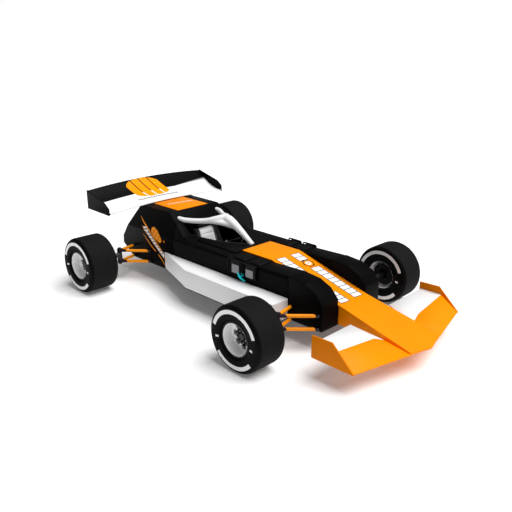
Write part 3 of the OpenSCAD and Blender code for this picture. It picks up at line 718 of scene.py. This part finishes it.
# a tube along a smooth curve through points with a radius each
def sweep(bm, points, steps=10):
    curve = bpy.data.curves.new("path", "CURVE")
    curve.dimensions = "3D"
    curve.bevel_depth = 1.0
    curve.bevel_resolution = 4
    curve.use_fill_caps = True
    spline = curve.splines.new("NURBS")
    spline.points.add(len(points) - 1)
    for point, (x, y, z, radius) in zip(spline.points, points):
        point.co = (x, y, z, 1.0)
        point.radius = radius
    spline.order_u = 3
    spline.use_endpoint_u = True
    spline.resolution_u = steps
    holder = bpy.data.objects.new("path", curve)
    scene.collection.objects.link(holder)
    mesh = bpy.data.meshes.new_from_object(holder.evaluated_get(bpy.context.evaluated_depsgraph_get()))
    bm.from_mesh(mesh)
    bpy.data.objects.remove(holder)
    bpy.data.curves.remove(curve)
    bpy.data.meshes.remove(mesh)


def remeshed(piece, voxel, smooth):
    remesh = piece.modifiers.new("remesh", "REMESH")
    remesh.mode = "VOXEL"
    remesh.voxel_size = voxel
    remesh.use_smooth_shade = True
    ease = piece.modifiers.new("ease", "SMOOTH")
    ease.factor = 0.5
    ease.iterations = smooth
    settled(piece)
    piece.data.polygons.foreach_set("use_smooth", [True] * len(piece.data.polygons))


# the hoop: tubes joined, remeshed and smoothed; points are x, y, z and the tube's radius
haloPlan = {
    "arm": ((0.300, 1.131, 0.850, 0.036), (0.302, 1.095, 0.852, 0.034), (0.290, 1.040, 0.851, 0.032),
            (0.222, 0.925, 0.849, 0.032), (0.150, 0.790, 0.861, 0.035), (0.085, 0.690, 0.888, 0.044),
            (0.0, 0.620, 0.905, 0.052)),
    "pylon": ((0.0, 0.650, 0.908, 0.034), (0.0, 0.585, 0.903, 0.056), (0.0, 0.520, 0.881, 0.053),
              (0.0, 0.430, 0.840, 0.045), (0.0, 0.325, 0.779, 0.038), (0.0, 0.240, 0.722, 0.033),
              (0.0, 0.165, 0.674, 0.031)),
    "web": ((0.150, 0.780, 0.858, 0.026), (0.075, 0.640, 0.872, 0.032), (0.0, 0.470, 0.836, 0.036)),
    "voxel": 0.005, "ease": 14}
bm = bmesh.new()
for side in sides.values():
    sweep(bm, [(side * x, y, z, r) for x, y, z, r in haloPlan["arm"]])
    sweep(bm, [(side * x, y, z, r) for x, y, z, r in haloPlan["web"]])
sweep(bm, haloPlan["pylon"])
halo = makePiece(bm, "haloHoop", whitePaint, 180)
remeshed(halo, haloPlan["voxel"], haloPlan["ease"])
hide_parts("halo")

# cockpit surround: rows are y and the opening's half width
surroundPlan = {
    "z": 0.6718, "thick": 0.010, "outer": 0.334, "round": 0.004, "lip": 0.010, "lipSink": 0.002,
    "rows": ((0.1045, 0.0), (0.188, 0.0), (0.198, 0.026), (0.222, 0.046), (0.262, 0.068), (0.31, 0.094),
             (0.36, 0.124), (0.41, 0.152), (0.46, 0.172), (0.52, 0.192), (0.58, 0.212), (0.66, 0.232),
             (0.745, 0.247), (0.83, 0.258), (0.92, 0.265), (1.005, 0.268))}
bm = bmesh.new()
rows = surroundPlan["rows"]
for side in sides.values():
    for (y0, w0), (y1, w1) in zip(rows, rows[1:]):
        corners = [(side * w0, y0), (side * surroundPlan["outer"], y0), (side * surroundPlan["outer"], y1),
                   (side * w1, y1)]
        bm.faces.new([bm.verts.new((x, y, surroundPlan["z"])) for x, y in corners])
bmesh.ops.remove_doubles(bm, verts=bm.verts, dist=1e-5)
pulled = bmesh.ops.extrude_face_region(bm, geom=list(bm.faces))
bmesh.ops.translate(bm, verts=[v for v in pulled["geom"] if isinstance(v, bmesh.types.BMVert)],
                    vec=(0, 0, surroundPlan["thick"]))
surround = makePiece(bm, "cockpitSurround", bodyBlack, 180)
soften(surround, surroundPlan["round"], 3, 50)
bm = bmesh.new()
lipZ = surroundPlan["z"] + surroundPlan["thick"] - surroundPlan["lipSink"]
leftLip = [(w, y, lipZ, surroundPlan["lip"]) for y, w in rows[2:]]
rightLip = [(-x, y, z, r) for x, y, z, r in reversed(leftLip)]
sweep(bm, rightLip + [(0, rows[1][0], lipZ, surroundPlan["lip"])] + leftLip, 4)
makePiece(bm, "surroundLip", padLeather, 180)


# padded pieces: a slightly smaller copy swells in a short cloth run, then seams are pressed in
clothFrames = 20


def swollen(piece, plan):
    remeshed(piece, plan["voxel"], 2)
    mesh = piece.data
    mesh.update()
    for vert, normal in zip(mesh.vertices, [Vector(n.vector) for n in mesh.vertex_normals]):
        vert.co -= normal * plan["inset"]
    rest = [vert.co.copy() for vert in mesh.vertices]
    cloth = piece.modifiers.new("swell", "CLOTH")
    cloth.settings.use_pressure = True
    cloth.settings.uniform_pressure_force = plan["pressure"]
    cloth.settings.effector_weights.gravity = 0
    cloth.point_cache.frame_start = 1
    cloth.point_cache.frame_end = clothFrames
    for step in range(1, clothFrames + 1):
        scene.frame_set(step)
    settled(piece)
    for vert, start in zip(piece.data.vertices, rest):
        move = vert.co - start
        if move.length > plan["cap"]:
            vert.co = start + move * (plan["cap"] / move.length)
    scene.frame_set(1)


def press(piece, depthAt):
    mesh = piece.data
    mesh.update()
    normals = [Vector(n.vector) for n in mesh.vertex_normals]
    for vert, normal in zip(mesh.vertices, normals):
        vert.co -= normal * depthAt(vert.co)


def refined(piece):
    fine = piece.modifiers.new("fine", "SUBSURF")
    fine.levels = 1
    fine.render_levels = 1


# 1 on a seam's line, easing to 0 a width away
def groove(distance, width):
    near = max(0.0, 1.0 - abs(distance) / width)
    return near ** 2 * (3 - 2 * near)


seatPlan = {"voxel": 0.0085, "inset": 0.008, "pressure": 4.0, "cap": 0.016, "seam": 0.006,
            "seamWidth": 0.014, "middle": 0.105, "bend": 0.36, "channels": (0.60, 0.68, 0.76, 0.84),
            "ribs": (0.40, 0.48, 0.56, 0.64), "thread": 0.0024, "stitchOut": 0.010,
            "stitchHalf": 0.0012, "stitchPitch": 0.011, "stitchLength": 0.007}


# seams run beside the white middle, and across it: on the cushion by y, on the back by z
def seatSeams(place):
    width = seatPlan["seamWidth"]
    side = groove(abs(place.x) - seatPlan["middle"], width)
    across = 0.0
    if abs(place.x) < seatPlan["middle"] and place.z < seatPlan["bend"]:
        across = max(groove(place.y - y, width) for y in seatPlan["channels"])
    elif abs(place.x) < seatPlan["middle"] and place.z > seatPlan["bend"]:
        across = max(groove(place.z - z, width) for z in seatPlan["ribs"])
    return seatPlan["seam"] * max(side, across)


# woven cloth, warp and weft as two sets of threads: white in the middle, black beside it
def seatFinish():
    finish = Finish("seatCloth", Specular_IOR_Level=0.15, Sheen_Weight=0.2, Sheen_Roughness=0.5)
    x, y, z = finish.axes()
    thread = seatPlan["thread"]
    across = abs(((x + 0.35 * y) % thread) - thread / 2)
    along = abs(((z + 0.6 * y) % thread) - thread / 2)
    weave = (across + along) * (1 / thread)
    wear = finish.noise(14.0, 4.0)
    blend = 0.55 * weave + 0.45 * wear
    white = finish.mix(blend, rgb(0.70, 0.70, 0.71), rgb(0.92, 0.92, 0.92))
    black = finish.mix(blend, rgb(0.008, 0.008, 0.009), rgb(0.022, 0.022, 0.023))
    onLine = abs(abs(x) - seatPlan["middle"] - seatPlan["stitchOut"]) < seatPlan["stitchHalf"]
    stitch = onLine * (((y + z) % seatPlan["stitchPitch"]) < seatPlan["stitchLength"])
    colour = finish.mix((abs(x) > seatPlan["middle"]) * 1.0, white, black)
    return finish.paint(
        Base_Color=finish.mix(stitch, colour, rgb(0.45, 0.45, 0.46)),
        Roughness=0.8 + 0.12 * (wear - 0.5),
        Normal=finish.bump(weave + 1.5 * stitch, 0.45, 0.0005))


seat = makePiece(mergedCopy("seat"), "seatPad", seatFinish(), 180)
swollen(seat, seatPlan)
press(seat, seatSeams)
refined(seat)
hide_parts("seat")

headPlan = {"voxel": 0.005, "inset": 0.004, "pressure": 4.0, "cap": 0.010, "seam": 0.004,
            "seamWidth": 0.009, "seamAt": 0.075}
head = makePiece(mergedCopy("headrest"), "headPad", padLeather, 180)
headMiddle = sum(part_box("headrest"), Vector()) / 2
swollen(head, headPlan)
press(head, lambda place: headPlan["seam"] * max(groove(place.y - headMiddle.y, headPlan["seamWidth"]),
                                                 groove(abs(place.x) - headPlan["seamAt"],
                                                        headPlan["seamWidth"])))
refined(head)
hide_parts("headrest")
print("halo, surround and padding ready")


# steering wheel: local z runs up the shaft to the driver, local y runs down
helmPlan = {
    "place": (0, 0.478, 0.611), "tilt": radians(20 - 90), "plateRound": 0.005, "top": 0.021,
    "gripAt": 0.124, "gripRadius": 0.0175, "gripLength": 0.148, "gripRise": 0.011,
    "rings": 7, "ringMargin": 0.02, "ringHalf": 0.004, "ringProud": 0.0012,
    "knobs": ((-0.075, -0.042), (-0.040, -0.048), (0.040, -0.048), (0.075, -0.042),
              (-0.080, 0.010), (0.080, 0.010), (-0.070, 0.045), (0.070, 0.045)),
    "dials": ((-0.030, 0.045), (0.0, 0.048), (0.030, 0.045)),
    # height, foot radius and tip radius
    "dial": (0.011, 0.009, 0.007), "knob": (0.006, 0.006),
    "screen": (0.080, 0.046, 0.004), "screenAt": (0, -0.006, 0.022)}
helmTurn = Matrix.Rotation(helmPlan["tilt"], 3, "X")
helmPlace = Vector(helmPlan["place"])


def helm(x, y, z):
    return helmPlace + helmTurn @ Vector((x, y, z))


softShell("helmPlate", "steering_wheel", blackMould, helmPlan["plateRound"], 3, 30,
          "steering_wheel")
bm = bmesh.new()
plan = helmPlan
half, rise, ringHalf = plan["gripLength"] / 2, plan["gripRise"], plan["ringHalf"]
firstRing = -half + plan["ringMargin"]
for side in sides.values():
    x = side * plan["gripAt"]
    rod(bm, helm(x, -half, rise), helm(x, half, rise), plan["gripRadius"], 28)
    for k in range(plan["rings"]):
        y = firstRing - 2 * firstRing * k / (plan["rings"] - 1)
        rod(bm, helm(x, y - ringHalf, rise), helm(x, y + ringHalf, rise),
            plan["gripRadius"] + plan["ringProud"], 28)
gripRubber = mouldedFinish("gripRubber", rgb(0.14, 0.14, 0.145), rgb(0.2, 0.2, 0.205), 0.65)
makePiece(bm, "helmGrips", gripRubber, 35, "steering_wheel")
bm = bmesh.new()
box(bm, helm(*plan["screenAt"]), plan["screen"], helmTurn, 0.0015, 2)
top = plan["top"]
tall, foot, tip = plan["dial"]
for x, y in plan["dials"]:
    rod(bm, helm(x, y, top), helm(x, y, top + tall), foot, 16, tip)
makePiece(bm, "helmScreen", greyMould, 35, "steering_wheel")
bm = bmesh.new()
tall, foot = plan["knob"]
for x, y in plan["knobs"]:
    rod(bm, helm(x, y, top), helm(x, y, top + tall), foot, 14)
makePiece(bm, "helmButtons", vinylOrange, 35, "steering_wheel")
print("steering wheel ready")


# side modules: frames, grey squares, ribbed hoods and a short cyan pipe; places are y and z,
# and the pipe's points and sockets start with their distance from the middle
modulePlan = {
    "x": 0.494, "lift": 0.003, "plates": ((-0.075, 0.579, 0.108, 0.096), (-0.288, 0.577, 0.108, 0.086)),
    "plateThick": 0.008, "frames": ((-0.140, 0.045), (-0.371, -0.180)), "frameTop": 0.676,
    "frameFoot": 0.535, "frameBend": 0.035, "frameSink": 0.002, "frameRadius": 0.008,
    "hood": ((-0.078, 0.150), (-0.300, 0.150)), "hoodX": (0.262, 0.440), "hoodTop": 0.014,
    "hoodZ": 0.671, "hoodRound": 0.014, "hoodRibs": 6, "ribFrom": 0.022, "ribInset": 0.05,
    "ribSize": (0.009, 0.008), "ribRound": 0.003,
    "pipe": ((0.494, -0.112, 0.548, 0.008), (0.506, -0.128, 0.536, 0.010),
             (0.508, -0.150, 0.512, 0.012), (0.498, -0.176, 0.488, 0.012),
             (0.476, -0.200, 0.468, 0.010)),
    "sockets": ((0.470, 0.488, -0.160, 0.530, 0.020, 20), (0.470, 0.484, -0.112, 0.505, 0.011, 16))}
plan = modulePlan
for label, side in sides.items():
    plates, frames, hoods, ribs, hoses = [bmesh.new() for k in range(5)]
    x = side * plan["x"]
    for y, z, wide, tall in plan["plates"]:
        box(plates, (x + side * plan["lift"], y, z), (plan["plateThick"], wide, tall),
            None, 0.003, 2)
    top, foot, bend = plan["frameTop"], plan["frameFoot"], plan["frameBend"]
    for low, high in plan["frames"]:
        path = [(low, foot), (low, top - bend), (low, top), (low + bend, top), (high - bend, top),
                (high, top), (high, top - bend), (high, foot)]
        sweep(frames, [(x - side * plan["frameSink"], y, z, plan["frameRadius"])
                       for y, z in path], 6)
    inner, outer = plan["hoodX"]
    middle, ribCount = side * (inner + outer) / 2, plan["hoodRibs"]
    for y, long in plan["hood"]:
        box(hoods, (middle, y, plan["hoodZ"]), (outer - inner, long, 2 * plan["hoodTop"]),
            None, plan["hoodRound"], 4)
        for k in range(ribCount):
            ribFrom = plan["ribFrom"]
            place = y - long / 2 + ribFrom + k * (long - 2 * ribFrom) / (ribCount - 1)
            box(ribs, (middle, place, plan["hoodZ"] + plan["hoodTop"]),
                (outer - inner - plan["ribInset"], *plan["ribSize"]), None,
                plan["ribRound"], 2)
    sweep(hoses, [(side * out, y, z, radius) for out, y, z, radius in plan["pipe"]], 6)
    for back, front, y, z, radius, steps in plan["sockets"]:
        rod(hoses, (side * back, y, z), (side * front, y, z), radius, steps)
    title = label.capitalize()
    moduleGrey = mouldedFinish("moduleGrey" + title, rgb(0.27, 0.27, 0.28), rgb(0.34, 0.34, 0.35),
                               0.5, 0.15)
    makePiece(plates, "modulePlates" + title, moduleGrey, 35)
    makePiece(frames, "moduleFrames" + title, blackMould, 60)
    makePiece(hoods, "moduleHoods" + title, blackMould, 45)
    makePiece(ribs, "moduleRibs" + title, blackMould, 45)
    makePiece(hoses, "moduleHose" + title, cyanMould, 50)
print("modules ready")


# graphics on the engine cover's sides: outlines are (y, z), bent where the side starts to lean;
# the oval is its middle y and z, half length, half height and turn
sidePlan = {
    "half": 0.470, "bend": 0.640, "lean": 0.297, "sink": 0.0012, "lift": 0.0010, "whiteLift": 0.0014,
    "orange": (
        ((1.742, 0.797), (1.665, 0.745), (1.511, 0.660), (1.404, 0.562), (1.301, 0.481), (1.221, 0.403),
         (1.221, 0.391), (1.301, 0.465), (1.404, 0.545), (1.511, 0.640), (1.665, 0.726)),
        ((1.690, 0.688), (1.566, 0.603), (1.435, 0.500), (1.306, 0.410), (1.224, 0.352), (1.224, 0.366),
         (1.306, 0.428), (1.435, 0.520), (1.566, 0.624)),
        ((1.655, 0.590), (1.574, 0.538), (1.469, 0.457), (1.394, 0.416), (1.394, 0.403), (1.469, 0.440),
         (1.574, 0.520)),
        ((1.350, 0.391), (1.285, 0.345), (1.223, 0.281), (1.223, 0.266), (1.285, 0.328), (1.350, 0.376)),
        ((1.232, 0.590), (1.214, 0.590), (1.207, 0.577), (1.216, 0.566), (1.232, 0.570))),
    "white": (((1.656, 0.676), (1.596, 0.692), (1.572, 0.672), (1.632, 0.656)),
              ((1.620, 0.648), (1.560, 0.663), (1.528, 0.637), (1.590, 0.626)),
              ((1.578, 0.617), (1.518, 0.628), (1.488, 0.604), (1.546, 0.592)),
              ((1.536, 0.584), (1.478, 0.596), (1.446, 0.571), (1.506, 0.560)),
              ((1.494, 0.551), (1.437, 0.563), (1.408, 0.540), (1.466, 0.529)),
              ((1.455, 0.520), (1.399, 0.532), (1.366, 0.507), (1.424, 0.496)),
              ((1.412, 0.487), (1.357, 0.499), (1.328, 0.477), (1.384, 0.467)),
              ((1.373, 0.459), (1.320, 0.470), (1.290, 0.449), (1.344, 0.438)),
              ((1.333, 0.430), (1.281, 0.441), (1.240, 0.436), (1.300, 0.407)),
              ((1.288, 0.399), (1.232, 0.428), (1.226, 0.376), (1.248, 0.371))),
    "oval": (1.378, 0.628, 0.122, 0.056, 0.62), "bands": 4, "bandGap": 0.006, "bandSteps": 6}


def sideDecal(bm, outline, side, lift):
    flat = bmesh.new()
    flat.faces.new([flat.verts.new((0, y, z)) for y, z in outline])
    bmesh.ops.bisect_plane(flat, geom=list(flat.verts) + list(flat.edges) + list(flat.faces),
                           plane_co=(0, 0, sidePlan["bend"]), plane_no=(0, 0, 1))
    pulled = bmesh.ops.extrude_face_region(flat, geom=list(flat.faces))
    for vert in flat.verts:
        slope = max(0.0, vert.co.z - sidePlan["bend"]) * sidePlan["lean"]
        vert.co.x = side * (sidePlan["half"] - slope - sidePlan["sink"])
    for vert in pulled["geom"]:
        if isinstance(vert, bmesh.types.BMVert):
            vert.co.x += side * (sidePlan["sink"] + lift)
    mesh = bpy.data.meshes.new("decal")
    flat.to_mesh(mesh)
    flat.free()
    bm.from_mesh(mesh)
    bpy.data.meshes.remove(mesh)


bm, whiteBm = bmesh.new(), bmesh.new()
middleY, middleZ, long, short, tilt = sidePlan["oval"]
for side in sides.values():
    for outline in sidePlan["orange"]:
        sideDecal(bm, outline, side, sidePlan["lift"])
    for outline in sidePlan["white"]:
        sideDecal(whiteBm, outline, side, sidePlan["whiteLift"])
    # an oval cut into bands: a runs from -1 to 1 along it
    gap, count = sidePlan["bandGap"] / 2 / long, sidePlan["bandSteps"]
    for k in range(sidePlan["bands"]):
        first = -1 + 2 * k / sidePlan["bands"] + gap
        span = 2 / sidePlan["bands"] - 2 * gap
        spots = [first + span * i / count for i in range(count + 1)]
        upper = [(a, sqrt(max(0.0, 1 - a * a))) for a in spots]
        loop = [(a * long, b * short) for a, b in upper]
        loop += [(a * long, -b * short) for a, b in reversed(upper) if b > 0.02]
        sideDecal(bm, [(middleY + u * cos(tilt) - v * sin(tilt), middleZ + u * sin(tilt) + v * cos(tilt))
                       for u, v in loop], side, sidePlan["lift"])
makePiece(bm, "sideStripes", vinylOrange, 30)
makePiece(whiteBm, "sideBlocks", vinylWhite, 30)
print("side graphics ready")


# the wishbones keep their CAD shapes: orange tubes, dark inside and outside these distances
wishbonePlan = {"front": (0.505, 0.700), "rear": (0.505, 0.690)}


def wishboneFinish(name, inner, outer):
    finish = Finish(name, Specular_IOR_Level=0.25)
    x, y, z = finish.axes()
    far = abs(x)
    ends = finish.larger((far < inner) * 1.0, (far > outer) * 1.0)
    orange = drifting(finish, rgb(0.93, 0.285, 0.0), rgb(1.0, 0.33, 0.0))
    return finish.paint(Base_Color=finish.mix(ends, orange, rgb(0.02, 0.012, 0.02)), Metallic=0.6 * ends,
                        **lacquer(finish, paintPlan["gloss"]))


for end, (inner, outer) in wishbonePlan.items():
    finish = wishboneFinish(end + "WishbonePaint", inner, outer)
    for label in sides:
        mesh = cadNodes[end + "_wishbones_" + label].data
        mesh.materials.clear()
        mesh.materials.append(finish.material)

# knuckles, uprights and pick-ups get rounded edges
blockRound = 0.003
for end, node in (("front", "front_knuckle_"), ("rear", "rear_upright_")):
    for label in sides:
        body = "knuckle_" + label if end == "front" else "chassis"
        softShell(end + "Upright" + label.capitalize(), node + label, darkSteel,
                  blockRound, 3, 30, body)
for end in ("front", "rear"):
    softShell(end + "PickupBlocks", end + "_pickups", darkSteel, blockRound, 2, 30)
print("suspension ready")
